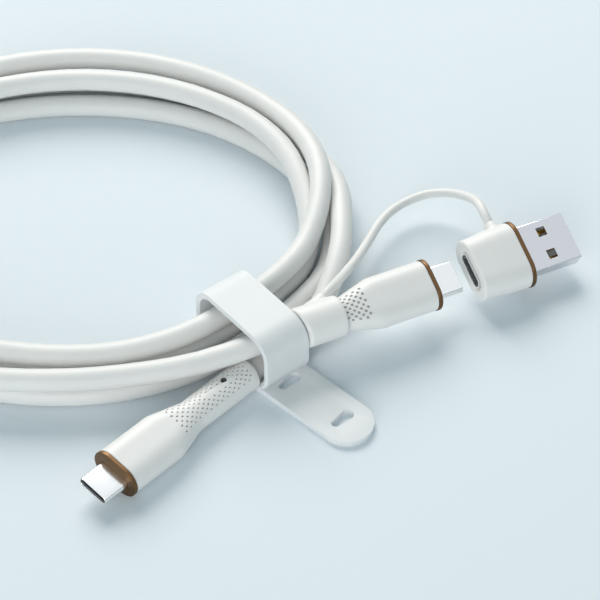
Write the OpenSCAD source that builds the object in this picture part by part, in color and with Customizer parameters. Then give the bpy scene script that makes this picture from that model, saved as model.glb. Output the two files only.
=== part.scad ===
// Charging cable: a wound USB-C to USB-C cord in a silicone strap, with a tethered USB-A adapter.
// Millimetres, +Z up. The origin is under the strap, on the surface that the cable lies on.

/* [Cord] */
// Diameter of the cord's jacket
cord_d = 5.3; // [4.6:0.1:5.8]
// Half length of the coil along X, to the middle of the bundle
coil_half_x = 61; // [54:1:75]
// Half length of the coil along Y, to the middle of the bundle
coil_half_y = 51.6; // [46:0.2:62]
// Gap between neighbouring turns
turn_gap = 0.6; // [0.58:0.01:0.7]
// How far the inner turn of the lower layer leans in at the back of the coil
back_lean_in = 3.4; // [0:0.2:4]
// How far the outer turn of the upper layer leans out at the back of the coil
back_lean_out = 2.2; // [0:0.2:3]
// How far the outer turn of the upper layer leans out at the front of the coil
front_lean_out = 2.1; // [0:0.1:2.4]

/* [Strap] */
// Width of the strap
strap_w = 12.6; // [10:0.2:14]
// Thickness of the strap
strap_t = 1.5; // [1.2:0.1:2]
// Space between the strap and the bundle of cords
strap_slack = 0.15; // [0.1:0.05:0.5]
// Length of the loose end, from the middle of the loop
tail_l = 36; // [30:1:60]
// Turn of the loose end against the loop, in degrees
tail_turn = 7; // [0:1:12]
// Diameter of a keyhole's round end
keyhole_d = 3; // [2:0.1:3.5]
// Width of a keyhole's neck
keyhole_neck = 1.4; // [0.8:0.1:1.8]
// Length of a keyhole, end to end
keyhole_l = 6.3; // [5:0.1:8]
// Distance between two keyholes
keyhole_pitch = 16.5; // [12:0.5:20]

/* [USB-C plug] */
// Width of the plug's steel shell
c_shell_w = 8.25; // [8.2:0.01:8.3]
// Thickness of the plug's steel shell
c_shell_t = 2.4; // [2.36:0.01:2.44]
// How far the shell stands out of the trim ring
c_shell_l = 6.65; // [6.2:0.05:6.8]
// Wall of the shell
c_wall = 0.3; // [0.2:0.02:0.35]
// Width of the slot in the plug's insulator
c_slot_w = 7; // [6.9:0.02:7.1]
// Height of the slot in the plug's insulator
c_slot_h = 1; // [0.9:0.02:1.1]
// Pitch of the contacts
c_pitch = 0.5; // [0.48:0.01:0.52]
// Width of the moulded body
body_w = 12.4; // [11.6:0.1:13]
// Thickness of the moulded body
body_t = 7.7; // [7:0.1:8.2]
// Length of the moulded body, with its trim ring
body_l = 15.2; // [14.8:0.1:18]
// Thickness of the wall round the inner mould
body_wall = 0.9; // [0.7:0.1:1.2]
// How far a trim ring stands out past the body
ring_lip = 0.15; // [0.05:0.05:0.4]
// Thickness of a trim ring, along the plug
ring_l = 1; // [0.8:0.1:1.8]

/* [Strain relief] */
// Length of the relief from the body's back to its free end
relief_l = 27; // [22:0.2:30]
// Length of the part that blends the body's oval into a round
relief_blend = 8.3; // [6:0.1:9]
// Diameter of the relief where the round part starts
relief_root_d = 7.7; // [7.4:0.1:8]
// Diameter of the relief at its free end
relief_end_d = 7.8; // [7:0.1:7.8]
// Diameter of the cord's core inside the relief
core_d = 4; // [3.4:0.1:4.4]

/* [Tether] */
// Length of the sleeve that carries the tether
collar_l = 9.6; // [9:0.2:12]
// Outer diameter of the sleeve
collar_d = 9.8; // [9.4:0.1:9.8]
// Length of relief that the second plug shows before its sleeve
collar_from = 8.9; // [8.4:0.1:9.6]
// Diameter of the tether
tether_d = 2.2; // [1.6:0.1:2.4]
// Length of the sleeve's branch for the tether
branch_l = 5; // [4:0.5:6]

/* [Adapter] */
// Distance from the tip of the second plug to the adapter
adapter_gap = 4.1; // [1:0.1:5]
// Length of the adapter's body, without its trim ring
adapter_l = 12.6; // [12:0.1:16]
// How far the adapter stands out round its USB-A shell
adapter_margin = 2.25; // [2:0.05:2.8]
// How much narrower the adapter is at its socket
adapter_flare = 1.3; // [0.6:0.1:1.6]
// How much thinner the adapter is at its socket
adapter_swell = 0.6; // [0.2:0.1:1]
// Width of the USB-A shell
a_shell_w = 12; // [11.9:0.05:12.1]
// Thickness of the USB-A shell
a_shell_t = 4.5; // [4.4:0.05:4.6]
// How far the USB-A shell stands out
a_shell_l = 13.4; // [11.75:0.05:14]
// Wall of the USB-A shell
a_wall = 0.3; // [0.2:0.02:0.35]
// Side of the square latch holes
a_hole = 2.3; // [2:0.1:2.5]
// Width of the socket's opening
socket_w = 8.34; // [8.34:0.01:8.4]
// Height of the socket's opening
socket_h = 2.56; // [2.52:0.01:2.6]
// Depth of the socket
socket_depth = 6.9; // [6.85:0.05:7.2]
// Width of the socket's tongue
tongue_w = 6.69; // [6.6:0.01:6.7]
// Thickness of the socket's tongue
tongue_t = 0.7; // [0.66:0.01:0.72]

/* [Hidden] */
$fn = 64;

// Directions: the strap lies across the bundle, and the plugs point away from it.
strap_yaw = 39;
plug_a_yaw = 47.2;
plug_a_roll = 10;
plug_a_lift = 0.8;
plug_b_yaw = 28;
plug_b_roll = 26;
plug_b_drop = 3;

// The bundle at the tie: how far the strap's middle is outside the middle of the turns, and
// where the first cord enters and the last one leaves, from the strap's middle.
tie_angle = -46;
tie_out = 4;
start_side = 5.8;
start_z = 3.9;
end_side = 7.6;
end_z = 10.8;
end_rise = 0.6;
entry_gap = 0.65;
exit_gap = 1.1;

// Turns of the coil.
turns = 4;
rings_per_turn = 24;
cord_sides = 6;
pitch = cord_d + turn_gap;
roll_from = 0.07;
roll_to = 0.25;
back_at = 0.378;
back_reach = 0.2;
front_at = 0.82;
front_reach = 0.12;
lift_reach = 0.085;
climb_from = 0.02;
climb_to = 0.12;
climb_room = 0.4;
sway_in = 1.3;
sway_at = 0.035;
sway_reach = 0.075;
leave_from = 0.88;
end_shift = 5.6;
third_back_tuck = 0.4;
third_front_tuck = 0.9;

fit = 0.02;
thin = 0.01;
through = 1;

// ---------------------------------------------------------------- small helpers

function unit(v) = v / norm(v);
function smooth(x) = let(c = max(0, min(1, x))) c * c * (3 - 2 * c);
function bump(x, at, reach) = 1 - smooth(abs(x - at) / reach);
function flat(angle) = [cos(angle), sin(angle), 0];
function side(angle) = [sin(angle), -cos(angle), 0];

// A stadium seen along X, lying across Y.
module stadium(w, t, l) {
    rotate([90, 0, 90])
        linear_extrude(l)
            union() {
                square([w - t, t], center = true);
                for (s = [-1, 1])
                    translate([s * (w - t) / 2, 0]) circle(d = t);
            }
}

// A box along X, centred on the X axis.
module bar(l, w, t) {
    translate([0, -w / 2, -t / 2]) cube([l, w, t]);
}

module rod(d, l) {
    rotate([0, 90, 0]) cylinder(d = d, h = l);
}

// ---------------------------------------------------------------- the cord's route

// Centre of the coil: the strap's middle lies tie_out outside the turns' middle line.
function oval(a) = [coil_half_x * cos(a), coil_half_y * sin(a), 0];
function oval_out(a) = unit([cos(a) / coil_half_x, sin(a) / coil_half_y, 0]);
coil_centre = -(oval(tie_angle) + tie_out * oval_out(tie_angle));

// The four turns form a block of two by two, which rolls a quarter turn past the strap, so that
// each turn takes the next one's place and the cord stays one piece.
function block_roll(t) = 90 * smooth((t - roll_from) / (roll_to - roll_from));
corner = pitch / sqrt(2);
function block_place(turn, t) =
    let(a = 45 - 90 * turn - block_roll(t))
    [corner * cos(a), cord_d / 2 + corner * (sin(a) + cos(45 - block_roll(t)))];

function lean(turn, t) =
    let(back = [0, -back_lean_in, -third_back_tuck, back_lean_out][turn])
    let(front = [0, 0, -third_front_tuck, front_lean_out][turn])
    back * bump(t, back_at, back_reach) + front * bump(t, front_at, front_reach);

// At the strap the whole bundle sways in, which leaves room under the sleeve.
function sway(t) = -sway_in * bump(t, sway_at, sway_reach);

function lift(t) = (strap_t + strap_slack) * (1 - smooth(min(t, 1 - t) / lift_reach));

// The first turn starts on the outside of the second one and climbs over it to its own place.
function first_place(t) =
    let(climb = smooth((t - climb_from) / (climb_to - climb_from)))
    let(room = pitch + climb_room * sin(180 * climb))
    let(rise = (90 - block_roll(t)) * climb)
    block_place(1, t) + room * [cos(rise), sin(rise)];

// Distance outside the middle line and height of a turn at the fraction t of its way round.
function lane(turn, t) =
    let(leave = turn == turns - 1 ? smooth((t - leave_from) / (1 - leave_from)) : 0)
    (turn == 0 && t < climb_to ? first_place(t) : block_place(turn, t))
        + [lean(turn, t) + sway(t), lift(t)] + leave * [end_shift, end_rise];

function coil_point(s) =
    let(turn = min(turns - 1, floor(s)), t = s - turn, a = tie_angle + 360 * t)
    let(at = lane(turn, t))
    coil_centre + oval(a) + at[0] * oval_out(a) + [0, 0, at[1]];

// Where the cord meets the first relief's end and the second plug's relief.
function strap_point(along, across, z) =
    along * flat(strap_yaw) + across * side(strap_yaw) + [0, 0, z];
cord_start = strap_point(-strap_w / 2 - entry_gap, start_side, start_z);
collar_start = strap_point(strap_w / 2 + exit_gap, end_side, end_z);
start_dir = [cos(plug_a_lift) * cos(plug_a_yaw), cos(plug_a_lift) * sin(plug_a_yaw),
    -sin(plug_a_lift)];
end_dir = [cos(plug_b_drop) * cos(plug_b_yaw), cos(plug_b_drop) * sin(plug_b_yaw),
    -sin(plug_b_drop)];
collar_end_wall = 1;
cord_end = collar_start + collar_end_wall * end_dir;

cord_path = concat(
    [cord_start, cord_start + cord_d * start_dir],
    [for (i = [1:turns * rings_per_turn - 1]) coil_point(i / rings_per_turn)],
    [cord_end - cord_d * end_dir - collar_end_wall * end_dir, cord_end]
);

// Least gap between stretches of the cord that are more than three pitches apart along it.
function segment_gap(p, a, b) =
    let(f = max(0, min(1, ((p - a) * (b - a)) / ((b - a) * (b - a)))))
    norm(p - a - f * (b - a));
function least_gap(path) = min([
    for (i = [0:len(path) - 1])
        for (j = [0:len(path) - 2])
            if (abs(i - j) > 3 && abs(i - j - 1) > 3)
                segment_gap(path[i], path[j], path[j + 1])
]) - cord_d;
function length_of(path) =
    len(path) < 2 ? 0 : [for (i = [1:len(path) - 1]) norm(path[i] - path[i - 1])]
        * [for (i = [1:len(path) - 1]) 1];
echo(least_gap_mm = least_gap(cord_path));
echo(cord_length_mm = length_of(cord_path));

// Rings of a tube stand square to the route, with a corner pointing down.
function tube_ring(path, i, r, sides) =
    let(last = len(path) - 1)
    let(along = unit(path[min(i + 1, last)] - path[max(i - 1, 0)]))
    let(across = unit(cross(along, [0, 0, 1])))
    let(up = cross(across, along))
    [for (k = [0:sides - 1])
        let(a = 360 * k / sides - 90)
        path[i] + r * (cos(a) * across + sin(a) * up)];

module tube(path, r, sides) {
    last = len(path) - 1;
    points = [for (i = [0:last]) each tube_ring(path, i, r, sides)];
    walls = [for (i = [0:last - 1]) for (k = [0:sides - 1])
        let(a = i * sides + k, b = i * sides + (k + 1) % sides)
        each [[a, a + sides, b], [b, a + sides, b + sides]]];
    start_cap = [for (k = [1:sides - 2]) [0, k, k + 1]];
    end_cap = [for (k = [1:sides - 2])
        [last * sides, last * sides + k + 1, last * sides + k]];
    polyhedron(points, concat(walls, start_cap, end_cap), convexity = 10);
}

module cable_coil() {
    color("white") tube(cord_path, cord_d / 2, cord_sides);
}

// ---------------------------------------------------------------- strap

// Inside of the loop: three cords side by side below and two above. It stands off them at its
// inner side and above, where the strap bends back on itself, and goes round the last cord,
// which leaves at its upper corner.
loop_side_room = 6.15;
loop_top_room = 0.7;
loop_mid = -1.475;
loop_w = 3 * pitch - turn_gap + 2 * strap_slack + loop_side_room;
loop_in_h = 2 * cord_d + turn_gap + 2 * strap_slack + end_rise + loop_top_room;
loop_r = 4;
tail_side = 1.2;
keyhole_edge = 7.6;

module rounded(w, h, r) {
    union() {
        square([w - 2 * r, h], center = true);
        square([w, h - 2 * r], center = true);
        for (x = [-1, 1], y = [-1, 1])
            translate([x * (w / 2 - r), y * (h / 2 - r)]) circle(r = r);
    }
}

// One keyhole, across the strap: a round end and a narrow neck with a round end of its own.
module keyhole() {
    neck_end = keyhole_l - keyhole_d / 2 - keyhole_neck / 2;
    translate([0, keyhole_l / 2 - keyhole_d / 2]) {
        circle(d = keyhole_d);
        translate([-keyhole_neck / 2, -neck_end]) square([keyhole_neck, neck_end]);
        translate([0, -neck_end]) circle(d = keyhole_neck);
    }
}

module strap_tail() {
    end_r = strap_w / 2;
    linear_extrude(strap_t)
        difference() {
            union() {
                translate([0, -strap_w / 2]) square([tail_l - end_r, strap_w]);
                translate([tail_l - end_r, 0]) circle(r = end_r);
            }
            for (i = [0:1])
                translate([tail_l - keyhole_edge - i * keyhole_pitch, 0]) keyhole();
        }
}

module strap() {
    outer_w = loop_w + 2 * strap_t;
    outer_h = loop_in_h + 2 * strap_t;
    color("gainsboro")
        rotate([0, 0, strap_yaw - 90])
            union() {
                translate([loop_mid, strap_w / 2, outer_h / 2])
                    rotate([90, 0, 0])
                        linear_extrude(strap_w)
                            difference() {
                                rounded(outer_w, outer_h, loop_r + strap_t);
                                rounded(loop_w, loop_in_h, loop_r);
                            }
                translate([0, -tail_side, 0]) rotate([0, 0, tail_turn]) strap_tail();
            }
}

// ---------------------------------------------------------------- USB-C plugs

// A plug points along +X, and its trim ring's front is at x = 0.
slot_floor = 1.2;
tip_set = 0.4;
contact_set = 1;
latch_set = 1.4;
shell_back = 5;
back_wall = 1.7;
mould_back = body_l - back_wall;
mould_w = body_w - 2 * body_wall;
mould_t = body_t - 2 * body_wall;
card_w = 8.4;
card_t = 0.8;
card_set = 1;
card_l = mould_back - shell_back - card_set;
chip = 3;
chip_t = 0.75;
chip_set = 2.5;
strip_w = 0.25;
strip_t = 0.08;
latch_t = 0.1;
latch_h = 0.6;

module plug_shell() {
    color("silver")
        difference() {
            translate([-shell_back, 0, 0])
                stadium(c_shell_w, c_shell_t, c_shell_l + shell_back);
            translate([-shell_back - through, 0, 0])
                stadium(c_shell_w - 2 * c_wall, c_shell_t - 2 * c_wall,
                    c_shell_l + shell_back + 2 * through);
        }
}

module plug_insulator() {
    color("dimgray")
        difference() {
            translate([-shell_back, 0, 0])
                stadium(c_shell_w - 2 * c_wall, c_shell_t - 2 * c_wall,
                    c_shell_l - tip_set + shell_back);
            translate([slot_floor, 0, 0]) bar(c_shell_l, c_slot_w, c_slot_h);
        }
}

module contact_row(from, l, z, t) {
    for (i = [0:11])
        translate([from, (i - 5.5) * c_pitch - strip_w / 2, z]) cube([l, strip_w, t]);
}

module plug_contacts() {
    l = c_shell_l - slot_floor - contact_set;
    color("goldenrod") {
        contact_row(slot_floor, l, c_slot_h / 2 - strip_t, strip_t);
        contact_row(slot_floor, l, -c_slot_h / 2, strip_t);
    }
}

module plug_latches() {
    color("silver")
        for (s = [-1, 1])
            translate([slot_floor, s * (c_slot_w / 2 - latch_t / 2), 0])
                bar(c_shell_l - slot_floor - latch_set, latch_t, latch_h);
}

module plug_card() {
    color("seagreen")
        translate([-mould_back + card_set, 0, 0]) bar(card_l, card_w, card_t);
}

module chip_block() {
    translate([-mould_back + chip_set, 0, card_t / 2 + chip_t / 2]) bar(chip, chip, chip_t);
}

module plug_chip() {
    color("darkslategray") chip_block();
}

module plug_inner_mould() {
    color("lightgray")
        difference() {
            translate([-mould_back, 0, 0]) stadium(mould_w, mould_t, mould_back - ring_l);
            translate([-shell_back, 0, 0]) stadium(c_shell_w, c_shell_t, shell_back);
            translate([-mould_back + card_set, 0, 0]) bar(card_l, card_w, card_t);
            chip_block();
        }
}

module plug_ring() {
    color("peru")
        translate([-ring_l, 0, 0])
            difference() {
                stadium(body_w + 2 * ring_lip, body_t + 2 * ring_lip, ring_l);
                translate([-through, 0, 0])
                    stadium(c_shell_w, c_shell_t, ring_l + 2 * through);
            }
}

module plug_body() {
    color("white")
        difference() {
            translate([-body_l, 0, 0]) stadium(body_w, body_t, body_l - ring_l);
            translate([-mould_back, 0, 0]) stadium(mould_w, mould_t, mould_back);
            translate([-body_l - through, 0, 0]) rod(core_d, body_l);
        }
}

// The relief blends the body's oval into a round, then tapers to its free end.
module plug_relief(l) {
    end_d = relief_root_d
        + (relief_end_d - relief_root_d) * (l - relief_blend) / (relief_l - relief_blend);
    color("whitesmoke")
        translate([-body_l, 0, 0])
            difference() {
                union() {
                    hull() {
                        translate([-thin, 0, 0]) stadium(body_w, body_t, thin, $fn = 32);
                        translate([-relief_blend, 0, 0]) rod(relief_root_d, thin, $fn = 32);
                    }
                    translate([-l, 0, 0])
                        rotate([0, 90, 0])
                            cylinder(d1 = end_d, d2 = relief_root_d, h = l - relief_blend);
                }
                translate([-l - through, 0, 0]) rod(core_d, l + 2 * through);
            }
}

module plug_core(l) {
    color("gray")
        translate([-body_l - l, 0, 0]) rod(core_d, l + body_l - mould_back);
}

// The first plug, placed by the free end of its relief.
module place_a() {
    translate(cord_start)
        rotate([0, -plug_a_lift, plug_a_yaw + 180])
            rotate([-plug_a_roll, 0, 0])
                translate([body_l + relief_l, 0, 0]) children();
}

// The second plug, placed by the back of its sleeve.
relief_b_l = collar_from + collar_l - collar_end_wall;
module place_b() {
    translate(collar_start)
        rotate([0, plug_b_drop, plug_b_yaw])
            rotate([plug_b_roll, 0, 0])
                translate([collar_l + collar_from + body_l, 0, 0]) children();
}

// ---------------------------------------------------------------- tether

// Route of the tether, in the second plug's directions, from the end of the sleeve's branch
// to the adapter's root. Local X runs along the plug, Y to its far side, Z out of its top.
branch_dir = unit([0.87, 0.5, 0]);
branch_set = 6.2;
branch_in = 2.1;
branch_wall = 0.5;
branch_at = [-body_l - collar_from - branch_set, collar_d / 2 - branch_in, 0];
root_x = 9.8;
root_in = 0.2;
root_l = 1.6;
root_d = tether_d + 2 * branch_wall;
adapter_w = a_shell_w + 2 * adapter_margin;
adapter_t = a_shell_t + 2 * adapter_margin;
root_y = adapter_w / 2 - root_in;
tether_free = [
    [-20.2, 8.4, -2.5], [-15.7, 10.9, -5.1], [-10.2, 14.2, -8.2], [-4.7, 18, -11.3],
    [0.8, 22, -13.8], [6.3, 24.8, -15.3], [12, 26, -15.6], [16.9, 25.6, -14.3],
    [20.3, 23.3, -11.3], [21.8, 20.2, -7.5], [21.9, 17.2, -3.9], [21.1, 14.4, -1.2]
];

module tether_collar() {
    back = -body_l - collar_from - collar_l;
    color("white")
        difference() {
            union() {
                translate([back, 0, 0]) rod(collar_d, collar_l);
                translate(branch_at) along(branch_dir)
                    cylinder(d = tether_d + 2 * branch_wall, h = branch_l);
            }
            translate([back + collar_end_wall, 0, 0]) 
                rod(max(relief_root_d, relief_end_d) + 2 * fit, collar_l);
            translate([back - through, 0, 0]) rod(cord_d + 2 * fit, collar_l);
        }
}

// Turns +Z to the direction d, which lies in the XY plane.
module along(d) {
    rotate([0, 0, atan2(d[1], d[0])]) rotate([0, 90, 0]) children();
}

module tether_cord() {
    start = branch_at + branch_l * branch_dir;
    root = [c_shell_l + adapter_gap + root_x, root_y + root_l, 0];
    path = concat([start, start + tether_d * branch_dir], tether_free,
        [root + [0, tether_d, 0], root + [0, thin, 0]]);
    echo(tether_length_mm = length_of(path));
    color("white") tube(path, tether_d / 2, 8);
}

// ---------------------------------------------------------------- adapter

// The adapter points along +X too, and its socket's face is at x = 0.
socket_wall = 0.2;
front_wall = 1.2;
shoulder_x = 7;
shoulder_w = 0.2;
cavity_gap = 0.3;
a_back = 1.2;
root_sunk = 1;
board_t = 0.8;
board_w = 10;
a_corner = 0.5;

module place_adapter() {
    place_b() translate([c_shell_l + adapter_gap, 0, 0]) children();
}

module adapter_body() {
    socket_out_w = socket_w + 2 * socket_wall;
    socket_out_h = socket_h + 2 * socket_wall;
    color("white")
        difference() {
            union() {
                hull() {
                    stadium(adapter_w - adapter_flare, adapter_t - adapter_swell, thin,
                        $fn = 32);
                    translate([shoulder_x, 0, 0])
                        stadium(adapter_w - shoulder_w * adapter_flare, adapter_t, thin,
                            $fn = 32);
                    translate([adapter_l - thin, 0, 0])
                        stadium(adapter_w, adapter_t, thin, $fn = 32);
                }
                translate([root_x, root_y - root_sunk, 0])
                    rotate([-90, 0, 0]) cylinder(d = root_d, h = root_l + root_sunk);
            }
            translate([-through, 0, 0])
                stadium(socket_out_w, socket_out_h, front_wall + 2 * through);
            translate([front_wall, 0, 0])
                a_section(a_shell_w + 2 * cavity_gap, a_shell_t + 2 * cavity_gap, a_corner,
                    adapter_l);
        }
}

module adapter_ring() {
    color("peru")
        translate([adapter_l, 0, 0])
            difference() {
                stadium(adapter_w + 2 * ring_lip, adapter_t + 2 * ring_lip, ring_l);
                translate([-through, 0, 0]) a_section(a_shell_w, a_shell_t, a_corner,
                    ring_l + 2 * through);
            }
}

module a_section(w, t, r, l) {
    rotate([90, 0, 90]) linear_extrude(l) rounded(w, t, r);
}

module adapter_board() {
    color("seagreen")
        translate([socket_depth + socket_wall, 0, 0])
            bar(adapter_l - a_back - socket_depth - socket_wall, board_w, board_t);
}

// The USB-A shell: a folded tube, with two square latch holes in its top and two below.
a_hole_x = 6.6;
a_hole_y = 2.95;
module usb_a_shell() {
    l = a_shell_l + ring_l + a_back;
    color("silver")
        translate([adapter_l - a_back, 0, 0])
            difference() {
                a_section(a_shell_w, a_shell_t, a_corner, l);
                translate([-through, 0, 0])
                    a_section(a_shell_w - 2 * a_wall, a_shell_t - 2 * a_wall,
                        a_corner - a_wall, l + 2 * through);
                for (s = [-1, 1])
                    translate([l - a_shell_l + a_hole_x - a_hole / 2,
                        s * a_hole_y - a_hole / 2, -a_shell_t])
                        cube([a_hole, a_hole, 2 * a_shell_t]);
            }
}

a_block_t = 1.85;
a_block_fit = 0.05;
a_contact_y = [-3.5, -1, 1, 3.5];
a_contact_set = 1.2;
a_block_top = a_wall + a_block_fit + a_block_t - a_shell_t / 2;
a_strip_w = 1;
a_strip_t = 0.15;
a_strip_l = 8;
module usb_a_insulator() {
    color("whitesmoke")
        translate([adapter_l - a_back, 0, a_block_top - a_block_t / 2])
            a_section(a_shell_w - 2 * (a_wall + a_block_fit), a_block_t, a_corner,
                a_shell_l + ring_l + a_back - tip_set);
}

module usb_a_contacts() {
    from = adapter_l + ring_l + a_shell_l - a_contact_set - a_strip_l;
    color("goldenrod")
        for (y = a_contact_y)
            translate([from, y, a_block_top + a_strip_t / 2])
                bar(a_strip_l, a_strip_w, a_strip_t);
}

module socket_shell() {
    color("silver")
        difference() {
            stadium(socket_w + 2 * socket_wall, socket_h + 2 * socket_wall,
                socket_depth + socket_wall);
            translate([-through, 0, 0]) stadium(socket_w, socket_h, socket_depth + through);
        }
}

tongue_set = 1.9;
row_set = 0.4;
module socket_rows() {
    l = socket_depth - tongue_set - 2 * row_set;
    contact_row(tongue_set + row_set, l, tongue_t / 2 - strip_t, strip_t);
    contact_row(tongue_set + row_set, l, -tongue_t / 2, strip_t);
}

module socket_tongue() {
    color("dimgray")
        difference() {
            translate([tongue_set, 0, 0]) bar(socket_depth - tongue_set, tongue_w, tongue_t);
            socket_rows();
        }
}

module socket_contacts() {
    color("goldenrod") socket_rows();
}

// ---------------------------------------------------------------- sub-parts by name

cable_coil();
strap();

place_a() plug_shell();  // plug_a_shell
place_a() plug_insulator();  // plug_a_insulator
place_a() plug_contacts();  // plug_a_contacts
place_a() plug_latches();  // plug_a_latches
place_a() plug_card();  // plug_a_card
place_a() plug_chip();  // plug_a_chip
place_a() plug_inner_mould();  // plug_a_inner_mould
place_a() plug_core(relief_l);  // plug_a_core
place_a() plug_ring();  // plug_a_ring
place_a() plug_body();  // plug_a_body
place_a() plug_relief(relief_l);  // plug_a_relief

place_b() plug_shell();  // plug_b_shell
place_b() plug_insulator();  // plug_b_insulator
place_b() plug_contacts();  // plug_b_contacts
place_b() plug_latches();  // plug_b_latches
place_b() plug_card();  // plug_b_card
place_b() plug_chip();  // plug_b_chip
place_b() plug_inner_mould();  // plug_b_inner_mould
place_b() plug_core(relief_b_l);  // plug_b_core
place_b() plug_ring();  // plug_b_ring
place_b() plug_body();  // plug_b_body
place_b() plug_relief(relief_b_l);  // plug_b_relief

place_b() tether_collar();
place_b() tether_cord();

place_adapter() adapter_body();
place_adapter() adapter_ring();
place_adapter() adapter_board();
place_adapter() usb_a_shell();
place_adapter() usb_a_insulator();
place_adapter() usb_a_contacts();
place_adapter() socket_shell();
place_adapter() socket_tongue();
place_adapter() socket_contacts();
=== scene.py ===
"""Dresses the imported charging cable: its jacket, mouldings, strap, shells and adapter."""

import math

import bmesh
import bpy
from bpy.props import FloatProperty, FloatVectorProperty, PointerProperty
from mathutils import Matrix, Vector


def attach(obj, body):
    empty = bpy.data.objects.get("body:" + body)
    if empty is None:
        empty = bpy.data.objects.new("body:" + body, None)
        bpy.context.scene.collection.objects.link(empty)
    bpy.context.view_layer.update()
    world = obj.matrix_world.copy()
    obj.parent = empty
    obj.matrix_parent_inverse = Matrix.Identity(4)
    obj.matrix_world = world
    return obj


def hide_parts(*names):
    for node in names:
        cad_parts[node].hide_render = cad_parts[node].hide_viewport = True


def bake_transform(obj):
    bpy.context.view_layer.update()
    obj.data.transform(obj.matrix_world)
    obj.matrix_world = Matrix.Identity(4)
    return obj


bl_info = {
    "name": "Charging Cable",
    "version": (1, 0, 0),
    "blender": (4, 5, 0),
    "location": "View3D > Sidebar > Cable",
    "description": "Dresses a wound USB-C charging cable and its tethered USB-A adapter",
    "category": "Object",
}

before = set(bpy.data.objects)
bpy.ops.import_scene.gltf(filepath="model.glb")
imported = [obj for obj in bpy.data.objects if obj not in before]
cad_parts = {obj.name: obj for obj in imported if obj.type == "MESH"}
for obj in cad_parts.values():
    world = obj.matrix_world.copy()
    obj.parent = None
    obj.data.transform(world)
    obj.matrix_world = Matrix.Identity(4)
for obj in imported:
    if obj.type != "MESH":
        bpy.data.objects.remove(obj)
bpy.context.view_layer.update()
MM = 0.001

# Sizes in millimetres and angles in degrees. They repeat the solids' own, so each piece stands
# where its solid is.
COIL_HALF = (61.0, 51.6)
TURNS, POINTS_PER_TURN = 4, 24
PITCH = 5.9
TIE_ANGLE, TIE_OUT = -46.0, 4.0
STRAP_YAW, STRAP_W, STRAP_T, STRAP_SLACK = 39.0, 12.6, 1.5, 0.15
LOOP_W, LOOP_H, LOOP_R, LOOP_MID = 23.55, 12.8, 4.0, -1.475
TAIL_L, TAIL_TURN, TAIL_SIDE, TAIL_BACK = 36.0, 7.0, 1.2, 3.0
KEYHOLE_EDGE, KEYHOLE_PITCH = 7.6, 16.5
KEYHOLE_L, KEYHOLE_WIDE_R, KEYHOLE_NARROW_R = 6.3, 1.45, 0.95
BODY_W, BODY_T, BODY_L = 12.4, 7.7, 15.2
RING_L = 1.0
SHELL_L = 6.65
RELIEF_L, RELIEF_BLEND, RELIEF_ROOT_D, RELIEF_END_D = 27.0, 8.3, 7.7, 7.8
HOLE_X, HOLE_Z, HOLE_R, HOLE_L = -34.3, 3.9, 0.7, 2.6
COLLAR_L, COLLAR_D, COLLAR_FROM, COLLAR_WALL = 9.6, 9.8, 8.9, 1.0
ADAPTER_GAP, ADAPTER_L = 4.1, 12.6
ADAPTER_FRONT, ADAPTER_BACK = (15.2, 8.4), (16.5, 9.0)
CAVITY_FROM, CAVITY_W, CAVITY_T = 1.2, 12.6, 5.6
ROOT_X, ROOT_Y, ROOT_L = 9.8, 8.05, 1.6
BRANCH_L, BRANCH_DIR = 5.0, Vector((0.87, 0.5, 0)).normalized()
BRANCH_AT = Vector((-BODY_L - COLLAR_FROM - 6.2, COLLAR_D / 2 - 2.1, 0))
PLUG_A_YAW, PLUG_A_LIFT, PLUG_A_ROLL = 47.2, 0.8, 10.0
PLUG_B_YAW, PLUG_B_DROP, PLUG_B_ROLL = 28.0, 3.0, 26.0
CABLE, ADAPTER = "cable", "adapter"

# How the turns stray from their oval. A place along the cord is a fraction of its turn, and each
# turn starts and ends at the strap.
ROLL_FROM, ROLL_SPAN = 0.07, 0.18
CLIMB_FROM, CLIMB_TO, CLIMB_SPAN, CLIMB_ROOM = 0.02, 0.12, 0.1, 0.4
SWAY_AT, SWAY_REACH, SWAY_OUT = 0.035, 0.075, -1.3
LIFT_SPAN = 0.085
LEAVE_FROM, LEAVE_SPAN, LEAVE_OUT, LEAVE_UP = 0.88, 0.12, 5.6, 0.6
# A lean's middle, its reach to either side, and how far out it takes each of the four turns.
LEANS = ((0.378, 0.2, (0, -3.4, -0.4, 2.2)), (0.82, 0.12, (0, 0, -0.9, 2.1)))

# Rows of pits along a relief, and the faces of a section's 36 that lie on its top and underside.
PIT_STEP, PIT_MARGIN = 0.875, 0.9
PIT_FACES = (*range(4, 14), *range(22, 32))
PIT_RIM, PIT_SLOPE = 0.09, 0.04
GROOVE_ROWS, GROOVE_FACES = range(12, 22), (8, 9)
SECOND_PLUG_ROWS = 9

# Sockets of a mix node that mixes colours.
COLOUR_A, COLOUR_B, COLOUR_MIXED = 6, 7, 2


def turn(axis, degrees):
    """A turn about an axis, as a matrix."""
    return Matrix.Rotation(math.radians(degrees), 4, axis)


def shift(x, y=0.0, z=0.0):
    """A move, as a matrix."""
    return Matrix.Translation((x, y, z))


def heading(yaw, drop):
    """The direction of a plug that points at yaw and drops towards its tip."""
    return (turn("Z", yaw) @ turn("Y", drop)).to_3x3() @ Vector((1, 0, 0))


def strap_point(along, across, z):
    """A point by its place along the bundle, across it and above the floor."""
    point = turn("Z", STRAP_YAW).to_3x3() @ Vector((along, -across, 0))
    return Vector((point.x, point.y, z))


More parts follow.
